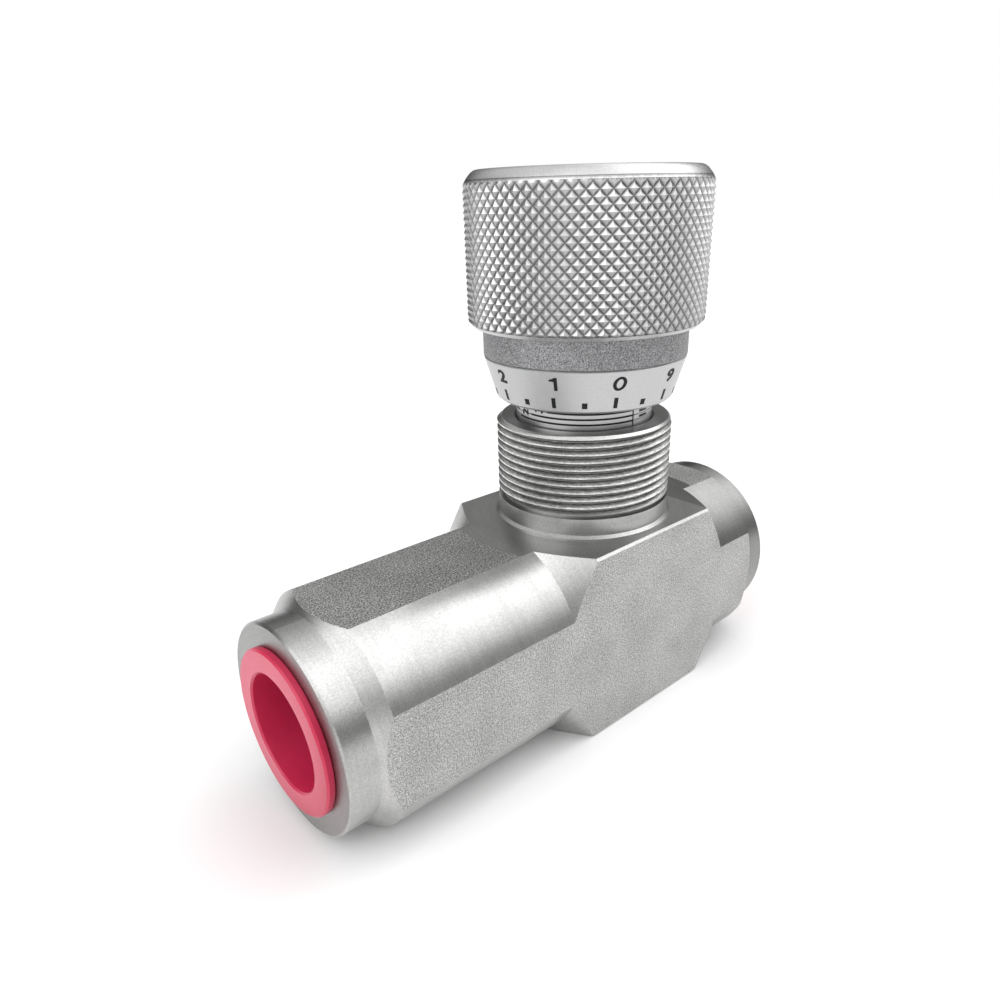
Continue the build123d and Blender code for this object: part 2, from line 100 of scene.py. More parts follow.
# The grip's rounded shoulder: how far in, and how far down from its top.
SHOULDER = ((0.0, 2.9), (0.2, 2.2), (0.75, 1.3), (1.5, 0.45), (2.0, 0.1), (2.3, 0.0))

DIGIT_ZERO = -118.8             # azimuth of the long tick under the digit 0, in degrees
DIGIT_STEP = -36.0              # from each digit to the next
DIGIT_LEAD = 0.8                # the digits sit a little to the right of their ticks
DIGIT_HEIGHT = 2.45 * MM
DIGIT_STRETCH = 1.5             # the digits are wide for their height
DIGIT_BOLDNESS = 0.036
DIGIT_DROP = 2.45 * MM          # from the dial's upper edge to the middle of the digits
# The figure 1 as shares of its height: its outline, and that outline in convex faces.
ONE = ((0.30, 0.0), (0.57, 0.0), (0.57, 1.0), (0.36, 1.0),
       (0.12, 0.87), (-0.06, 0.83), (-0.06, 0.71), (0.30, 0.69))
ONE_FACES = ((7, 0, 1, 2), (4, 7, 2, 3), (6, 7, 4, 5))
ZERO_WIDTH = 2.55 * MM
ZERO_HEIGHT = 2.62 * MM
ZERO_STROKE = 0.66 * MM
ZERO_FLATTEN = 0.7              # its stroke at top and bottom, as a share of that at its sides
ZERO_LEAN = 0.12                # sideways for each unit of height
LONG_TICK = (0.75 * MM, 2.0 * MM)
LONG_TICK_DROP = 6.1 * MM
SHORT_TICK = (1.0 * MM, 1.1 * MM)
SHORT_TICK_DROP = 6.5 * MM
DIAL_LOW_R = 17.35 * MM
DIAL_EDGES = (0.4 * MM, 0.3 * MM)   # small chamfers under and over the dial's cone
DATUM_AZIMUTH = -94.0           # the line on the sleeve that the dial is read against
DATUM_LINE = 0.30 * MM
INK = 0.03 * MM                 # how far the filled-in marks stand proud
INK_ROOT = 0.05 * MM            # how far they reach below the surface
INK_SLICE = 0.3 * MM            # widest flat step of a mark round a curve
FIRST_RING = NECK_TOP + 1.1 * MM
RINGS = 9
RING_PITCH = 1.0 * MM           # the knob's rise for each turn
RING_LINE = 0.36 * MM
FIGURE_ONE = -210.0             # azimuth of the sleeve's first figure, in degrees
FIGURE_STEP = 17.0              # from each figure to the next
FIGURE_HEIGHT = 2.0 * MM
FIGURE_STRETCH = 0.95
FIGURE_BOLDNESS = 0.02
FIGURE_GAP = 8.5                # from a figure to the start of its ring, in degrees
HALF_MARK = (2.6 * MM, 0.42 * MM)   # the marks midway between the rings
HALF_MARK_LEAD = 13             # from the datum line to them, in degrees

SPRING_WIRE_R = 0.6 * MM
SPRING_TURNS = 6

HORIZON_LIGHT = 0.20            # strength of the studio's light, low down and overhead
ZENITH_LIGHT = 1.10
HORIZON_TOP = 5                 # elevations between which it rises, in degrees
ZENITH_BOTTOM = 62
# Azimuth, elevation, half angle, softness of the edge and added strength. A negative one is a dark card.
LIGHT_PATCHES = (
    (-38, 47, 26, 11, 1.2),
    (8, 56, 18, 10, 0.7),
    (172, 25, 26, 10, 1.45),
    (-135, 60, 26, 12, 0.6),
    (-62, 14, 22, 12, -0.10),
    (48, 22, 26, 14, -0.28),
    (124, 18, 20, 12, -0.26),
    (-14, 38, 14, 8, 0.6),
)
FLOOR_HALF = 3.0

CAMERA_PLACE = (-0.11056, -0.10176, 0.10048)
CAMERA_HEADING, CAMERA_TILT, CAMERA_ROLL = -41.51, -24.06, -1.46
CAMERA_LENS = 27.26             # on a sensor 36 mm wide
CAMERA_SHIFT = (-0.0106, 0.0343)

# ================================================================ materials


class Shader:
    """A principled material under construction, in millimetres of the row frame."""

    def __init__(self, name, metallic, roughness, color=None, **sockets):
        self.material = bpy.data.materials.new(name)
        self.material.use_nodes = True
        self.tree = self.material.node_tree
        self.surface = self.tree.nodes["Principled BSDF"]
        self.surface.inputs["Metallic"].default_value = metallic
        self.surface.inputs["Roughness"].default_value = roughness
        if color:
            self.surface.inputs["Base Color"].default_value = (*color, 1)
            self.material.diffuse_color = (*color, 1)
        for socket, value in sockets.items():
            self.surface.inputs[socket.replace("_", " ")].default_value = value
        coordinates = self.tree.nodes.new("ShaderNodeTexCoord")
        self.position = self.vector("SCALE", coordinates.outputs["Object"], scale=1 / MM)
        self.x, self.y, self.z = self.separate(self.position)

    def put(self, value, socket):
        if isinstance(value, bpy.types.NodeSocket):
            self.tree.links.new(value, socket)
        elif value is not None:
            socket.default_value = value

    def vector(self, operation, first, second=None, scale=None):
        node = self.tree.nodes.new("ShaderNodeVectorMath")
        node.operation = operation
        self.put(first, node.inputs[0])
        self.put(second, node.inputs[1])
        if scale is not None:
            self.put(scale, node.inputs["Scale"])
        return node.outputs["Vector"]

    def separate(self, vector):
        node = self.tree.nodes.new("ShaderNodeSeparateXYZ")
        self.put(vector, node.inputs[0])
        return node.outputs[:3]

    def combine(self, x, y, z):
        node = self.tree.nodes.new("ShaderNodeCombineXYZ")
        for value, socket in zip((x, y, z), node.inputs):
            self.put(value, socket)
        return node.outputs[0]

    def math(self, operation, first, second=None):
        node = self.tree.nodes.new("ShaderNodeMath")
        node.operation = operation
        for value, socket in zip((first, second), node.inputs):
            self.put(value, socket)
        return node.outputs[0]

    def tint(self, tone, *factors):
        """The tone times each factor."""
        for factor in factors:
            tone = self.math("MULTIPLY", tone, factor)
        return tone

    def length2(self, first, second):
        squares = (self.math("MULTIPLY", value, value) for value in (first, second))
        return self.math("SQRT", self.math("ADD", *squares))

    def noise(self, scale, detail=2.0, vector=None, rough=0.5):
        node = self.tree.nodes.new("ShaderNodeTexNoise")
        self.put(vector or self.position, node.inputs["Vector"])
        node.inputs["Scale"].default_value = scale
        node.inputs["Detail"].default_value = detail
        node.inputs["Roughness"].default_value = rough
        return node.outputs["Fac"]

    def spread(self, value, low, high, out_low, out_high):
        """The value's stretch from low to high, mapped on to out_low to out_high."""
        node = self.tree.nodes.new("ShaderNodeMapRange")
        for wanted, socket in zip((value, low, high, out_low, out_high), node.inputs):
            self.put(wanted, socket)
        return node.outputs[0]

    def mix(self, factor, first, second):
        node = self.tree.nodes.new("ShaderNodeMix")
        node.data_type = "FLOAT"
        self.put(factor, node.inputs[0])
        self.put(first, node.inputs[2])
        self.put(second, node.inputs[3])
        return node.outputs[0]

    def colors(self, factor, first, second):
        node = self.tree.nodes.new("ShaderNodeMix")
        node.data_type = "RGBA"
        self.put(factor, node.inputs[0])
        self.put((*first, 1) if isinstance(first, tuple) else first, node.inputs[6])
        self.put((*second, 1) if isinstance(second, tuple) else second, node.inputs[7])
        return node.outputs[2]

    def bump(self, height, distance, normal=None):
        """distance is the height in millimetres that a value of 1 stands for."""
        node = self.tree.nodes.new("ShaderNodeBump")
        self.put(height, node.inputs["Height"])
        node.inputs["Strength"].default_value = 1.0
        node.inputs["Distance"].default_value = distance * MM
        self.put(normal, node.inputs["Normal"])
        return node.outputs[0]

    def finish(self, color=None, roughness=None, normal=None):
        self.put(color, self.surface.inputs["Base Color"])
        self.put(roughness, self.surface.inputs["Roughness"])
        self.put(normal, self.surface.inputs["Normal"])
        return self.material


def body_steel():
    """Blasted flats, turned ends and neck, and the circle milled round the neck."""
    s = Shader("body_steel", 1.0, 0.4, (0.62, 0.62, 0.61))
    up = s.math("SUBTRACT", s.z, AXIS_Z / MM)
    around_ports = s.length2(s.y, up)
    around_knob = s.length2(s.x, s.y)
    side = s.math("GREATER_THAN", s.math("ABSOLUTE", s.y), AXIS_Z / MM - FLAT_SKIN)
    flat_up = s.math("GREATER_THAN", s.math("ABSOLUTE", up), AXIS_Z / MM - FLAT_SKIN)
    below_neck = s.math("LESS_THAN", s.z, 2 * AXIS_Z / MM + 0.1)
    level = s.math("MULTIPLY", flat_up, below_neck)
    flat = s.math("MAXIMUM", side, level)
    milled = s.math("MULTIPLY", level, s.math("LESS_THAN", around_knob, MILLED_R))
    in_neck = s.math("SUBTRACT", 1.0, below_neck)

    # Turning leaves rings about the ports' axis on the ends, and about the knob's on the neck.
    along_cut = s.mix(in_neck, s.math("ADD", s.x, around_ports), s.math("ADD", s.z, around_knob))
    along_cut = s.mix(milled, along_cut, around_knob)
    cut = s.combine(along_cut, 0.0, 0.0)
    rings = s.noise(5.0, 4.0, cut, 0.7)
    coarse_rings = s.noise(0.9, 2.0, cut)

    grain = s.noise(3.4, 3.0, rough=0.75)
    pits = s.noise(1.1, 2.0)
    clouds = s.noise(0.12, 2.0)
    blast = s.math("MULTIPLY", flat, s.mix(milled, 1.0, 0.12))

    speckle = s.spread(grain, 0.36, 0.66, s.mix(level, 0.18, 0.06), s.mix(level, 0.78, 1.0))
    clouding = s.spread(clouds, 0.35, 0.65, 0.92, 1.06)
    shade = s.tint(speckle, s.spread(pits, 0.3, 0.7, 0.88, 1.08), clouding)
    turned_shade = s.tint(s.spread(coarse_rings, 0.3, 0.7, 0.46, 0.51), clouding,
                          s.spread(grain, 0.36, 0.66, 0.84, 1.14))

    # Painted shade darkens the thread's grooves and a painted highlight lightens its crests, and streaks
    # of dirt run round the thread.
    in_thread = s.math("MULTIPLY", s.math("GREATER_THAN", s.z, THREAD_BOTTOM),
                       s.math("LESS_THAN", s.z, NECK_TOP / MM - NECK_CHAMFER))
    painted_thread_shading = s.spread(around_knob, THREAD_ROOT_R, THREAD_ROOT_R + 0.9, 0.44, 1.50)
    streaks = s.noise(2.4, 4.0, s.vector("MULTIPLY", s.position, (0.40, 0.40, 3.2)), 0.75)
    streaking = s.spread(streaks, 0.38, 0.64, 0.58, 1.34)
    turned_shade = s.tint(turned_shade, s.mix(in_thread, 1.0, painted_thread_shading), s.mix(in_thread, 1.0, streaking))

    # Painted shade darkens the collar, the front ring, the rear end and the end faces, and painted
    # highlights lighten the neck's top and its chamfer.
    collar = s.math("MULTIPLY", in_neck, s.math("LESS_THAN", s.z, THREAD_BOTTOM))
    from_middle = s.math("ABSOLUTE", s.math("SUBTRACT", s.x, BODY_MIDDLE))
    end_face = s.math("GREATER_THAN", from_middle, BODY_HALF - END_SKIN)
    front_ring = s.math("LESS_THAN", s.x, BODY_MIDDLE - BODY_HALF + FRONT_RING_LENGTH)
    neck_face = s.math("GREATER_THAN", s.z, NECK_TOP / MM - NECK_SKIN)
    rear_end = s.math("MULTIPLY", below_neck, s.math("GREATER_THAN", s.x, BLOCK_HALF))
    top_edge = s.math("MULTIPLY", s.math("GREATER_THAN", s.z, NECK_TOP / MM - NECK_CHAMFER),
                      s.math("LESS_THAN", s.z, NECK_TOP / MM - NECK_SKIN))
    painted_light_zones = ((collar, 0.80), (end_face, 0.70), (front_ring, 0.92), (neck_face, 1.12), (rear_end, 0.58),
             (top_edge, 1.15))
    turned_shade = s.tint(turned_shade, *(s.mix(zone, 1.0, factor) for zone, factor in painted_light_zones))
    tone = s.mix(blast, turned_shade, shade)
    rough = s.mix(blast, s.spread(rings, 0.3, 0.7, 0.30, 0.34), s.spread(pits, 0.3, 0.7, 0.33, 0.43))
    normal = s.bump(s.math("MULTIPLY", rings, s.math("SUBTRACT", 1.0, blast)), 0.001)
    normal = s.bump(s.math("MULTIPLY", grain, blast), 0.16, normal=normal)
    return s.finish(s.combine(tone, tone, s.math("MULTIPLY", tone, 0.985)), rough, normal)


def turned_metal(name, tone, roughness, about_ports=False):
    """Plain machined metal with rings from the cutting tool."""
    s = Shader(name, 1.0, roughness, (tone, tone, tone))
    if about_ports:
        around = s.length2(s.y, s.math("SUBTRACT", s.z, AXIS_Z / MM))
        along = s.math("ADD", s.x, around)
    else:
        along = s.math("ADD", s.z, s.length2(s.x, s.y))
    rings = s.noise(6.0, 4.0, s.combine(along, 0.0, 0.0), 0.7)
    smudge = s.noise(0.35, 3.0)
    shade = s.tint(s.spread(rings, 0.3, 0.7, tone * 0.92, tone * 1.06),
                   s.spread(smudge, 0.3, 0.7, 0.94, 1.04))
    rough = s.spread(rings, 0.3, 0.7, roughness - 0.05, roughness + 0.06)
    return s.finish(s.combine(shade, shade, shade), rough, s.bump(rings, 0.002))


def knurl_aluminium():
    """Pale aluminium, with painted shade: dark in the knurl's valleys and light on its crests."""
    s = Shader("knurl_aluminium", 1.0, 0.36, (0.80, 0.80, 0.81))
    around = s.length2(s.x, s.y)
    valley_r = GRIP_R / MM - KNURL_DEPTH / MM
    # Painted shade: darker down in the knurl's valleys, lighter on its crests.
    painted_knurl_shading = s.spread(around, valley_r, valley_r + 0.24, 0.0, 1.0)
    knurled = s.math("GREATER_THAN", around, valley_r - END_SKIN)
    plain = s.math("SUBTRACT", 1.0, knurled)
    grain = s.noise(3.4, 3.0, rough=0.7)
    patches = s.noise(0.22, 2.0)
    tone = s.spread(s.math("MAXIMUM", painted_knurl_shading, s.math("MULTIPLY", plain, 0.68)), 0.0, 1.0, 0.20, 0.66)
    # Painted shade darkens the undersides of the knurl's diamonds.
    facing = s.tree.nodes.new("ShaderNodeTexCoord").outputs["Normal"]
    painted_underside_shade = s.spread(s.separate(facing)[2], -0.45, 0.15, 0.62, 1.0)
    tone = s.tint(tone, s.mix(knurled, 1.0, painted_underside_shade), s.spread(grain, 0.3, 0.7, 0.90, 1.06),
                  s.spread(patches, 0.3, 0.7, 0.96, 1.03))
    rough = s.spread(grain, 0.3, 0.7, 0.24, 0.38)
    return s.finish(s.combine(tone, tone, s.math("MULTIPLY", tone, 1.01)), rough, s.bump(grain, 0.02))


def band_grey():
    """Matte grey band with a fine blasted grain."""
    s = Shader("band_grey", 1.0, 0.55, (0.36, 0.36, 0.37))
    grain = s.noise(4.2, 3.0, rough=0.75)
    streaks = s.noise(1.0, 2.0, s.vector("MULTIPLY", s.position, (0.35, 0.35, 2.2)))
    tone = s.tint(s.spread(grain, 0.36, 0.66, 0.10, 0.52), s.spread(streaks, 0.3, 0.7, 0.9, 1.1))
    return s.finish(s.combine(tone, tone, s.math("MULTIPLY", tone, 1.02)),
                    s.spread(streaks, 0.3, 0.7, 0.48, 0.60), s.bump(grain, 0.05))


def dial_silver():
    """Satin dial face, finely turned."""
    s = Shader("dial_silver", 0.9, 0.42, (0.86, 0.86, 0.87))
    rings = s.noise(7.0, 3.0, s.combine(s.z, 0.0, 0.0), 0.7)
    grain = s.noise(4.0, 2.0)
    tone = s.tint(s.spread(rings, 0.3, 0.7, 0.49, 0.56), s.spread(grain, 0.3, 0.7, 0.93, 1.06))
    return s.finish(s.combine(tone, tone, s.math("MULTIPLY", tone, 1.01)),
                    s.spread(grain, 0.3, 0.7, 0.38, 0.48), s.bump(rings, 0.004))


def ink():
    """Black filling of the engraved marks."""
    s = Shader("black_fill", 0.0, 0.5, (0.010, 0.010, 0.011), Specular_IOR_Level=0.2)
    grain = s.noise(6.0, 2.0)
    return s.finish(s.colors(grain, (0.004, 0.004, 0.005), (0.022, 0.022, 0.024)),
                    s.spread(grain, 0.3, 0.7, 0.4, 0.6), s.bump(grain, 0.01))


def red_plastic():
    """Moulded cap, slightly translucent, with painted light: pale on its face as a painted highlight, and
    painted shade deep red down its cup.
    """
    s = Shader("cap_red", 0.0, 0.38, (0.80, 0.03, 0.10), Subsurface_Weight=0.2,
               Subsurface_Scale=1.2 * MM, Specular_IOR_Level=0.5)
    s.surface.inputs["Subsurface Radius"].default_value = (1.0, 0.15, 0.2)
    up = s.math("SUBTRACT", s.z, AXIS_Z / MM)
    around = s.length2(s.y, up)
    middle = (PLUG_FACE_REAR + PLUG_FACE_FRONT) / 2 / MM
    half = (PLUG_FACE_REAR - PLUG_FACE_FRONT) / 2 / MM
    depth = s.math("SUBTRACT", half, s.math("ABSOLUTE", s.math("SUBTRACT", s.x, middle)))
    # Painted shade: deeper red the further down the cup.
    painted_cup_shade = s.math("MULTIPLY", s.math("LESS_THAN", around, PLUG_BORE_R),
                    s.spread(depth, 0.2, 8.0, 0.35, 1.0))
    on_face = s.math("LESS_THAN", depth, END_SKIN)
    clouds = s.noise(0.25, 3.0)
    grain = s.noise(5.0, 2.0)
    color = s.colors(clouds, (0.52, 0.014, 0.060), (0.66, 0.034, 0.106))
    # Painted light on the face: a painted highlight along the cup's lip, painted shade towards its outer
    # edge, and the face lighter towards its top and +Y side.
    across = s.spread(s.math("ADD", s.y, up), -16, 14, 0.0, 1.0)
    painted_lip_highlight = s.colors(across, (0.60, 0.090, 0.150), (0.68, 0.105, 0.185))
    outer = s.colors(across, (0.42, 0.012, 0.050), (0.64, 0.070, 0.146))
    face = s.colors(s.spread(around, PLUG_BORE_R + 0.2, PLUG_BORE_R + 4.2, 0.0, 1.0), painted_lip_highlight, outer)
    color = s.colors(on_face, color, s.colors(clouds, face, (0.62, 0.058, 0.120)))
    color = s.colors(painted_cup_shade, color, s.colors(clouds, (0.43, 0.020, 0.080), (0.55, 0.028, 0.102)))
    return s.finish(color, s.spread(grain, 0.3, 0.7, 0.30, 0.42), s.bump(grain, 0.012))


def soft_part(name, dark, light, roughness, scale, height):
    """Rubber or unfilled plastic: a mottled colour with a slight skin."""
    s = Shader(name, 0.0, roughness, light)
    mottle = s.noise(scale, 3.0)
    return s.finish(s.colors(mottle, dark, light),
                    s.spread(mottle, 0.3, 0.7, roughness - 0.08, roughness + 0.08), s.bump(mottle, height))


MATERIALS = {
    "body_steel": body_steel(),
    "bonnet_steel": turned_metal("bonnet_steel", 0.46, 0.30),
    "hard_steel": turned_metal("hard_steel", 0.55, 0.24),
    "check_steel": turned_metal("check_steel", 0.55, 0.24, about_ports=True),
    "spring_steel": turned_metal("spring_steel", 0.42, 0.30, about_ports=True),
    "black_screw": turned_metal("black_screw", 0.07, 0.42),
    "knurl": knurl_aluminium(),
    "band": band_grey(),
    "dial": dial_silver(),
    "ink": ink(),
    "red": red_plastic(),
    "rubber": soft_part("seal_rubber", (0.012, 0.012, 0.012), (0.03, 0.03, 0.03), 0.6, 1.5, 0.02),
    "ptfe": soft_part("white_plastic", (0.76, 0.75, 0.70), (0.86, 0.85, 0.81), 0.45, 0.8, 0.01),
}

NODE_MATERIALS = {
    "body_steel": ("valve_body",),
    "bonnet_steel": ("bonnet",),
    "hard_steel": ("spindle", "throttle_seat"),
    "check_steel": ("check_seat", "check_poppet", "spring_retainer"),
    "spring_steel": ("check_spring", "retainer_ring"),
    "black_screw": ("knob_screw", "knob_grub_screws", "lock_screw"),
    "knurl": ("knob_grip",),
    "band": ("band_ring",),
    "dial": ("dial_ring",),
    "red": ("front_port_plug", "rear_port_plug"),
    "rubber": ("bonnet_o_ring", "spindle_o_ring", "stem_wiper"),
    "ptfe": ("bonnet_backup_ring", "spindle_backup_ring", "lock_pad"),
}

for material_name, nodes in NODE_MATERIALS.items():
    for node in nodes:
        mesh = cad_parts[node].data
        mesh.materials.clear()
        mesh.materials.append(MATERIALS[material_name])

# ================================================================ pieces


def new_piece(name, mesh, material, body):
    piece = bpy.data.objects.new(name, mesh)
    bpy.context.scene.collection.objects.link(piece)
    mesh.materials.append(MATERIALS[material])
    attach(piece, body)
    return piece


def knurl_depth(step_around, step_up):
    """Share of the full depth where two hands of V grooves cross and leave pointed diamonds."""
    period = 2 * KNURL_STEPS
    phases = ((step_around + step_up) % period, (step_around - step_up) % period)
    return 1 - min(min(phase, period - phase) for phase in phases) / KNURL_STEPS


def grip_envelope(z):
    """The grip's outside before the knurl is rolled: a lip, a cylinder and a rounded shoulder."""
    radius = min(GRIP_R, GRIP_R - LIP + (z - band_high.z))
    drop = (grip_high.z - z) / MM
    for (inset, higher), (next_inset, lower) in zip(SHOULDER, SHOULDER[1:]):
        if lower <= drop <= higher:
            share = (higher - drop) / (higher - lower)
            radius = GRIP_R - (inset + share * (next_inset - inset)) * MM
    return radius


def knurled_grip():
    """The whole grip as one turned skin, whose outer rows carry the knurl."""
    columns = 2 * KNURL_STEPS * KNURL_AROUND
    step = 2 * pi * GRIP_R / columns
    spigot_low, top = grip_low.z, grip_high.z
    knurl_bottom = band_high.z
    recess = top - RECESS_DEPTH
    sink_edge = 0.3 * MM

    # Each row is (radius, height, row of the knurl or None where there is none).
    knurl_rows = int((top - 0.5 * MM - knurl_bottom) / step)
    rows = [(GRIP_BORE_R, spigot_low, None), (GRIP_SPIGOT_R, spigot_low, None),
            (GRIP_SPIGOT_R, knurl_bottom, None)]
    for row in range(knurl_rows + 1):
        z = knurl_bottom + row * step
        rows.append((grip_envelope(z), z, row))
    rows += [(GRIP_R - inset * MM, top - drop * MM, None) for inset, drop in SHOULDER[-3:]]
    rows += [(RECESS_EDGE_R, top, None), (RECESS_FLOOR_R, recess, None),
             (GRIP_SINK_R + sink_edge, recess, None), (GRIP_SINK_R, recess - sink_edge, None),
             (GRIP_SINK_R, GRIP_SINK_FLOOR, None), (GRIP_STEM_R, GRIP_SINK_FLOOR, None),
             (GRIP_STEM_R, GRIP_CAVITY_TOP, None), (GRIP_BORE_R, GRIP_CAVITY_TOP, None)]

    turns = [(cos(2 * pi * c / columns), sin(2 * pi * c / columns)) for c in range(columns)]
    points = []
    for radius, z, row in rows:
        for column, (x, y) in enumerate(turns):
            r = radius
            if row is not None:
                fade = min(1, max(0, ((top - z) / MM - KNURL_END[1]) / (KNURL_END[0] - KNURL_END[1])))
                r = min(radius, GRIP_R - KNURL_DEPTH * knurl_depth(column, row) * fade)
            points.append((r * x, r * y, z))

    faces = []
    count = len(rows)
    for index in range(count):
        upper = (index + 1) % count
        row = rows[index][2]
        for column in range(columns):
            after = (column + 1) % columns
            a, b = index * columns + column, index * columns + after
            d, c = upper * columns + column, upper * columns + after
            if row is None:
                faces.append((a, b, c, d))
            elif (column - row) % 2 == 0:
                faces += [(a, b, c), (a, c, d)]
            else:
                faces += [(a, b, d), (b, c, d)]
    mesh = bpy.data.meshes.new("knurled_grip")
    mesh.from_pydata(points, [], faces)
    mesh.shade_smooth()
    mesh.set_sharp_from_angle(angle=radians(18))
    return mesh


def radial_cutter(azimuth, z, inner, outer, radius):
    """A round cutter that points outwards from the knob's axis."""
    builder = bmesh.new()
    bmesh.ops.create_cone(builder, cap_ends=True, segments=48, radius1=radius, radius2=radius,
                          depth=outer - inner)
    mesh = bpy.data.meshes.new("cutter")
    builder.to_mesh(mesh)
    builder.free()
    cutter = bpy.data.objects.new("cutter", mesh)
    bpy.context.scene.collection.objects.link(cutter)
    middle = (inner + outer) / 2
    cutter.rotation_euler = Euler((0, radians(90), radians(azimuth)))
    cutter.location = (middle * cos(radians(azimuth)), middle * sin(radians(azimuth)), z)
    return cutter


def cut_holes(piece, cutters):
    """Subtracts the cutters from the piece, then deletes them."""
    for cutter in cutters:
        modifier = piece.modifiers.new("hole", "BOOLEAN")
        modifier.operation = "DIFFERENCE"
        modifier.solver = "EXACT"
        modifier.object = cutter
    bpy.context.view_layer.update()
    evaluated = piece.evaluated_get(bpy.context.evaluated_depsgraph_get())
    cut = bpy.data.meshes.new_from_object(evaluated)
    piece.modifiers.clear()
    piece.data = cut
    for cutter in cutters:
        bpy.data.objects.remove(cutter)


def centre_of(node):
    low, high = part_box(node)
    return (low + high) / 2


grip = new_piece("knurled_grip", knurled_grip(), "knurl", "knob")
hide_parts("knob_grip")
grub_z = centre_of("knob_grub_screws").z
hole_cutters = [radial_cutter(azimuth, grub_z, 2 * MM, GRIP_R + 2 * MM, GRUB_HOLE_R)
                for azimuth in GRUB_AZIMUTHS]
hole_cutters.append(radial_cutter(LOCK_AZIMUTH, centre_of("lock_screw").z, 10 * MM, BAND_R, LOCK_HOLE_R))
cut_holes(grip, hole_cutters)

# ---------------------------------------------------------------- the check valve's spring


def coil_spring():
    """The spring's wire swept round its helix along X, closed at both ends by flat caps."""
    around, along = 14, 40 * SPRING_TURNS
    start, end = SPRING_LOW.x + SPRING_WIRE_R, SPRING_HIGH.x - SPRING_WIRE_R
    coil_r = (SPRING_HIGH.y - SPRING_LOW.y) / 2 - SPRING_WIRE_R
    rise = (end - start) / SPRING_TURNS / (2 * pi)
    slope = rise / sqrt(coil_r ** 2 + rise ** 2)
    flat = coil_r / sqrt(coil_r ** 2 + rise ** 2)
    points, faces = [], []
    for step in range(along + 1):
        turn = 2 * pi * SPRING_TURNS * step / along
        outward = Vector((0, cos(turn), sin(turn)))
        tangent = Vector((slope, -flat * sin(turn), flat * cos(turn)))
        across = tangent.cross(outward)
        centre = Vector((start + rise * turn, 0, AXIS_Z)) + outward * coil_r
        for corner in range(around):
            angle = 2 * pi * corner / around
            points.append(centre + (outward * cos(angle) + across * sin(angle)) * SPRING_WIRE_R)
    for step in range(along):
        for corner in range(around):
            after = (corner + 1) % around
            here, ahead = step * around, (step + 1) * around
            faces.append((here + corner, here + after, ahead + after, ahead + corner))
    faces.append(tuple(range(around)))
    faces.append(tuple(along * around + corner for corner in reversed(range(around))))
    mesh = bpy.data.meshes.new("check_spring_coil")
    mesh.from_pydata(points, [], faces)
    fixed = bmesh.new()
    fixed.from_mesh(mesh)
    bmesh.ops.recalc_face_normals(fixed, faces=fixed.faces[:])
    fixed.to_mesh(mesh)
    fixed.free()
    mesh.shade_smooth()
    return mesh


spring = new_piece("check_spring_coil", coil_spring(), "spring_steel", "housing")
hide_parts("check_spring")
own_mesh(spring)

# ---------------------------------------------------------------- marks on the dial and the sleeve


def dial_radius(z):
    """The dial's face is a cone between its two edges."""
    low, high = dial_low.z + DIAL_EDGES[0], dial_high.z - DIAL_EDGES[1]
    return DIAL_LOW_R + (z - low) / (high - low) * (dial_high.x - DIAL_LOW_R)


def sleeve_radius(z):
    """The sleeve is as wide at every height."""
    return SLEEVE_R


def flat_text(text, height, stretch, boldness):
    """A flat figure from the built-in font, about its own middle."""
    curve = bpy.data.curves.new("figure", "FONT")
    curve.body = text
    curve.align_x = "CENTER"
    curve.offset = boldness
    curve.resolution_u = 6
    figure = bpy.data.objects.new("figure", curve)
    bpy.context.scene.collection.objects.link(figure)
    bpy.context.view_layer.update()
    mesh = bpy.data.meshes.new_from_object(figure.evaluated_get(bpy.context.evaluated_depsgraph_get()))
    bpy.data.objects.remove(figure)
    builder = bmesh.new()
    builder.from_mesh(mesh)
    bmesh.ops.remove_doubles(builder, verts=builder.verts, dist=1e-5)
    low = min(v.co.y for v in builder.verts)
    high = max(v.co.y for v in builder.verts)
    left = min(v.co.x for v in builder.verts)
    right = max(v.co.x for v in builder.verts)
    scale = height / (high - low)
    for v in builder.verts:
        v.co = ((v.co.x - (left + right) / 2) * scale * stretch, (v.co.y - (low + high) / 2) * scale, 0)
    return builder


def flat_one(height):
    """The figure 1 with a flag, about its own middle, as three convex faces."""
    builder = bmesh.new()
    middle = (min(x for x, _ in ONE) + max(x for x, _ in ONE)) / 2
    points = [builder.verts.new(((x - middle) * height, (y - 0.5) * height, 0)) for x, y in ONE]
    for corners in ONE_FACES:
        builder.faces.new([points[corner] for corner in corners])
    return builder


def flat_zero(width, height, stroke):
    """The figure 0 as a leaning oval ring, a little thinner at top and bottom."""
    builder = bmesh.new()
    around = 48
    loops = []
    for inset in (0.0, stroke):
        half_width, half_height = width / 2 - inset, height / 2 - inset * ZERO_FLATTEN
        loop = []
        for step in range(around):
            angle = 2 * pi * step / around
            y = half_height * sin(angle)
            loop.append(builder.verts.new((half_width * cos(angle) + ZERO_LEAN * y, y, 0)))
        loops.append(loop)
    outer, inner = loops
    for step in range(around):
        after = (step + 1) % around
        builder.faces.new((outer[step], outer[after], inner[after], inner[step]))
    return builder


def flat_bar(width, height):
    builder = bmesh.new()
    x, y = width / 2, height / 2
    corners = ((-x, -y), (x, -y), (x, y), (-x, y))
    builder.faces.new([builder.verts.new((x, y, 0)) for x, y in corners])
    return builder


def lying(builder):
    """Turns a flat figure on its side, with its foot to the right."""
    for v in builder.verts:
        v.co = (-v.co.y, v.co.x, 0)
    return builder


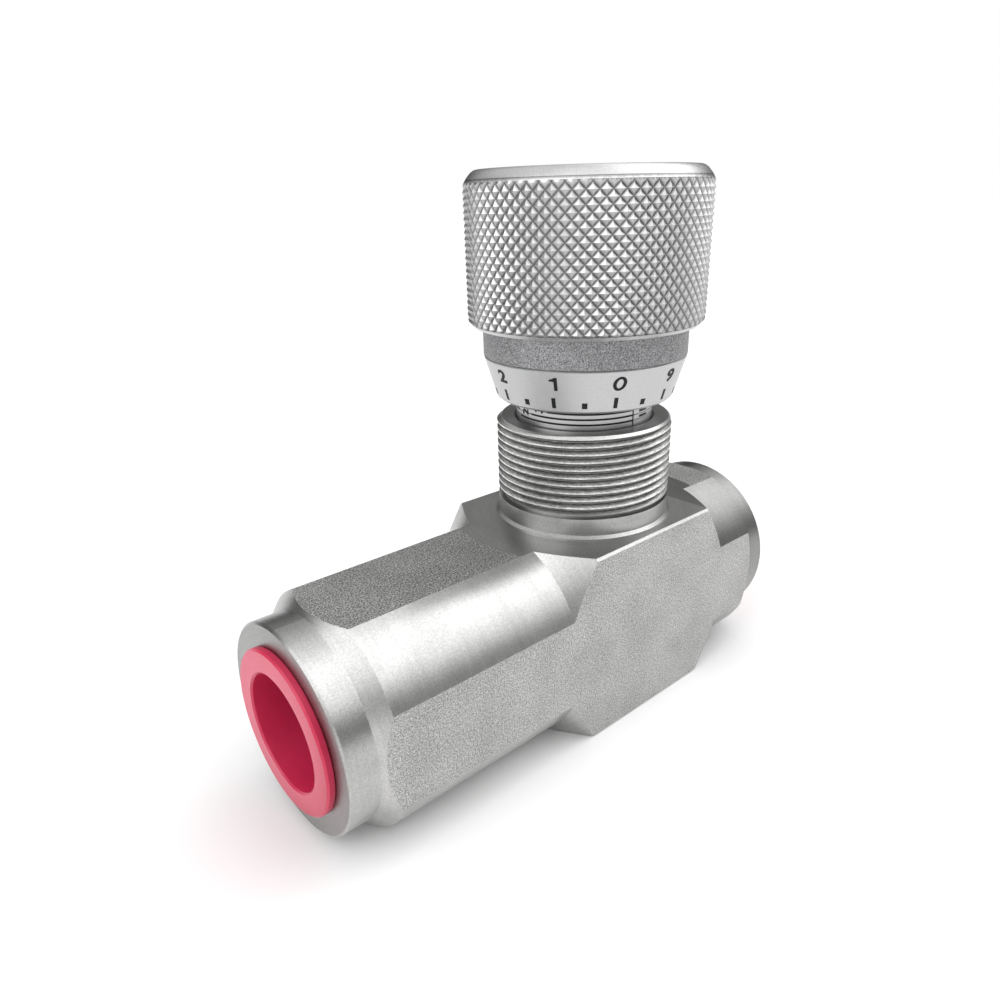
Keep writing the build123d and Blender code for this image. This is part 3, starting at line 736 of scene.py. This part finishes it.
def wrap(builder, azimuth, z, radius_at, into):
    """Wraps a flat figure round a surface of revolution, as a thin filled-in layer."""
    lowest = min(v.co.x for v in builder.verts)
    widest = max(v.co.x for v in builder.verts)
    slices = max(1, int((widest - lowest) / INK_SLICE))
    for cut in range(1, slices):
        geometry = builder.verts[:] + builder.edges[:] + builder.faces[:]
        at = lowest + (widest - lowest) * cut / slices
        bmesh.ops.bisect_plane(builder, geom=geometry, plane_co=(at, 0, 0), plane_no=(1, 0, 0))
    made = bmesh.ops.extrude_face_region(builder, geom=builder.faces[:])
    lifted = {v for v in made["geom"] if isinstance(v, bmesh.types.BMVert)}
    bmesh.ops.recalc_face_normals(builder, faces=builder.faces[:])
    for v in builder.verts:
        height = z + v.co.y
        radius = radius_at(height) + (INK if v in lifted else -INK_ROOT)
        angle = radians(azimuth) + v.co.x / radius_at(z)
        v.co = (radius * cos(angle), radius * sin(angle), height)
    bmesh.ops.recalc_face_normals(builder, faces=builder.faces[:])
    mesh = bpy.data.meshes.new("wrapped")
    builder.to_mesh(mesh)
    builder.free()
    into.from_mesh(mesh)
    bpy.data.meshes.remove(mesh)


def piece_from(builder, name, body):
    mesh = bpy.data.meshes.new(name)
    builder.to_mesh(mesh)
    builder.free()
    return new_piece(name, mesh, "ink", body)


digits, ticks = bmesh.new(), bmesh.new()
digit_z = dial_high.z - DIGIT_DROP
long_z, short_z = dial_high.z - LONG_TICK_DROP, dial_high.z - SHORT_TICK_DROP
for digit in range(10):
    azimuth = DIGIT_ZERO + DIGIT_STEP * digit
    if digit == 0:
        figure = flat_zero(ZERO_WIDTH, ZERO_HEIGHT, ZERO_STROKE)
    elif digit == 1:
        figure = flat_one(DIGIT_HEIGHT)
    else:
        figure = flat_text(str(digit), DIGIT_HEIGHT, DIGIT_STRETCH, DIGIT_BOLDNESS)
    wrap(figure, azimuth + DIGIT_LEAD, digit_z, dial_radius, digits)
    wrap(flat_bar(*LONG_TICK), azimuth, long_z, dial_radius, ticks)
    wrap(flat_bar(*SHORT_TICK), azimuth + DIGIT_STEP / 2, short_z, dial_radius, ticks)
piece_from(digits, "dial_digits", "knob")
piece_from(ticks, "dial_ticks", "knob")

scale_lines, scale_digits = bmesh.new(), bmesh.new()
for turn in range(1, RINGS + 1):
    z = FIRST_RING + (turn - 1) * RING_PITCH
    figure_azimuth = FIGURE_ONE + (turn - 1) * FIGURE_STEP
    start = figure_azimuth + FIGURE_GAP
    end = DATUM_AZIMUTH + 360.0 if start > DATUM_AZIMUTH else DATUM_AZIMUTH
    length = radians(end - start) * SLEEVE_R
    wrap(flat_bar(length, RING_LINE), (start + end) / 2, z, sleeve_radius, scale_lines)
    half_z = z + 0.5 * RING_PITCH
    wrap(flat_bar(*HALF_MARK), DATUM_AZIMUTH + HALF_MARK_LEAD, half_z, sleeve_radius, scale_lines)
    # The figures lie on their sides, the lowest one raised clear of the neck.
    lift = RING_PITCH if turn == 1 else 0.1 * RING_PITCH
    figure = lying(flat_text(str(turn), FIGURE_HEIGHT, FIGURE_STRETCH, FIGURE_BOLDNESS))
    wrap(figure, figure_azimuth, z + lift, sleeve_radius, scale_digits)
top_ring = FIRST_RING + (RINGS - 1) * RING_PITCH
datum = flat_bar(DATUM_LINE, top_ring - NECK_TOP)
wrap(datum, DATUM_AZIMUTH, (top_ring + NECK_TOP) / 2, sleeve_radius, scale_lines)
piece_from(scale_lines, "turn_scale_lines", "housing")
piece_from(scale_digits, "turn_scale_digits", "housing")

# ================================================================ floor, light and camera


def floor():
    mesh = bpy.data.meshes.new("floor")
    half = FLOOR_HALF
    corners = [(-half, -half, 0), (half, -half, 0), (half, half, 0), (-half, half, 0)]
    mesh.from_pydata(corners, [], [(0, 1, 2, 3)])
    ground = bpy.data.objects.new("floor", mesh)
    bpy.context.scene.collection.objects.link(ground)
    s = Shader("floor_pale", 0.0, 0.6, (0.93, 0.93, 0.93))
    mesh.materials.append(s.finish(s.colors(s.noise(0.004, 2.0), (0.92, 0.92, 0.92), (0.94, 0.94, 0.94))))


def studio():
    """Soft light from all round: dim low down, bright overhead, with a few soft patches.

    The backdrop itself is plain white where the camera looks straight at it.
    """
    world = bpy.data.worlds.new("studio")
    bpy.context.scene.world = world
    world.use_nodes = True
    tree = world.node_tree
    background = tree.nodes["Background"]

    def math(operation, *values):
        node = tree.nodes.new("ShaderNodeMath")
        node.operation = operation
        for value, socket in zip(values, node.inputs):
            if isinstance(value, bpy.types.NodeSocket):
                tree.links.new(value, socket)
            else:
                socket.default_value = value
        return node.outputs[0]

    def ramp(value, low, high, out_low, out_high):
        node = tree.nodes.new("ShaderNodeMapRange")
        node.interpolation_type = "SMOOTHSTEP"
        tree.links.new(value, node.inputs[0])
        for number, socket in zip((low, high, out_low, out_high), list(node.inputs)[1:]):
            socket.default_value = number
        return node.outputs[0]

    direction = tree.nodes.new("ShaderNodeTexCoord").outputs["Generated"]
    split = tree.nodes.new("ShaderNodeSeparateXYZ")
    tree.links.new(direction, split.inputs[0])
    low, high = sin(radians(HORIZON_TOP)), sin(radians(ZENITH_BOTTOM))
    light = ramp(split.outputs["Z"], low, high, HORIZON_LIGHT, ZENITH_LIGHT)
    for azimuth, elevation, half_angle, softness, level in LIGHT_PATCHES:
        towards = (cos(radians(azimuth)) * cos(radians(elevation)),
                   sin(radians(azimuth)) * cos(radians(elevation)), sin(radians(elevation)))
        dot = tree.nodes.new("ShaderNodeVectorMath")
        dot.operation = "DOT_PRODUCT"
        tree.links.new(direction, dot.inputs[0])
        dot.inputs[1].default_value = towards
        edge_out = cos(radians(half_angle + softness))
        edge_in = cos(radians(half_angle - softness))
        light = math("ADD", light, ramp(dot.outputs["Value"], edge_out, edge_in, 0.0, level))
    light = math("MAXIMUM", light, 0.0)
    seen = tree.nodes.new("ShaderNodeLightPath").outputs["Is Camera Ray"]
    light = math("MULTIPLY", light, math("SUBTRACT", 1.0, seen))
    background.inputs["Color"].default_value = (1.0, 1.0, 1.0, 1)
    tree.links.new(math("ADD", light, seen), background.inputs["Strength"])


floor()
studio()
bpy.context.scene.view_settings.view_transform = "Standard"

camera = bpy.data.objects.new("camera", bpy.data.cameras.new("camera"))
bpy.context.scene.collection.objects.link(camera)
camera.location = CAMERA_PLACE
camera.rotation_mode = "XYZ"
camera.rotation_euler = (Euler((0, 0, radians(CAMERA_HEADING))).to_matrix()
                         @ Euler((radians(90 + CAMERA_TILT), 0, 0)).to_matrix()
                         @ Euler((0, 0, radians(CAMERA_ROLL))).to_matrix()).to_euler()
camera.data.sensor_width = 36
camera.data.lens = CAMERA_LENS
camera.data.shift_x, camera.data.shift_y = CAMERA_SHIFT
camera.data.clip_start = 0.005
bpy.context.scene.camera = camera
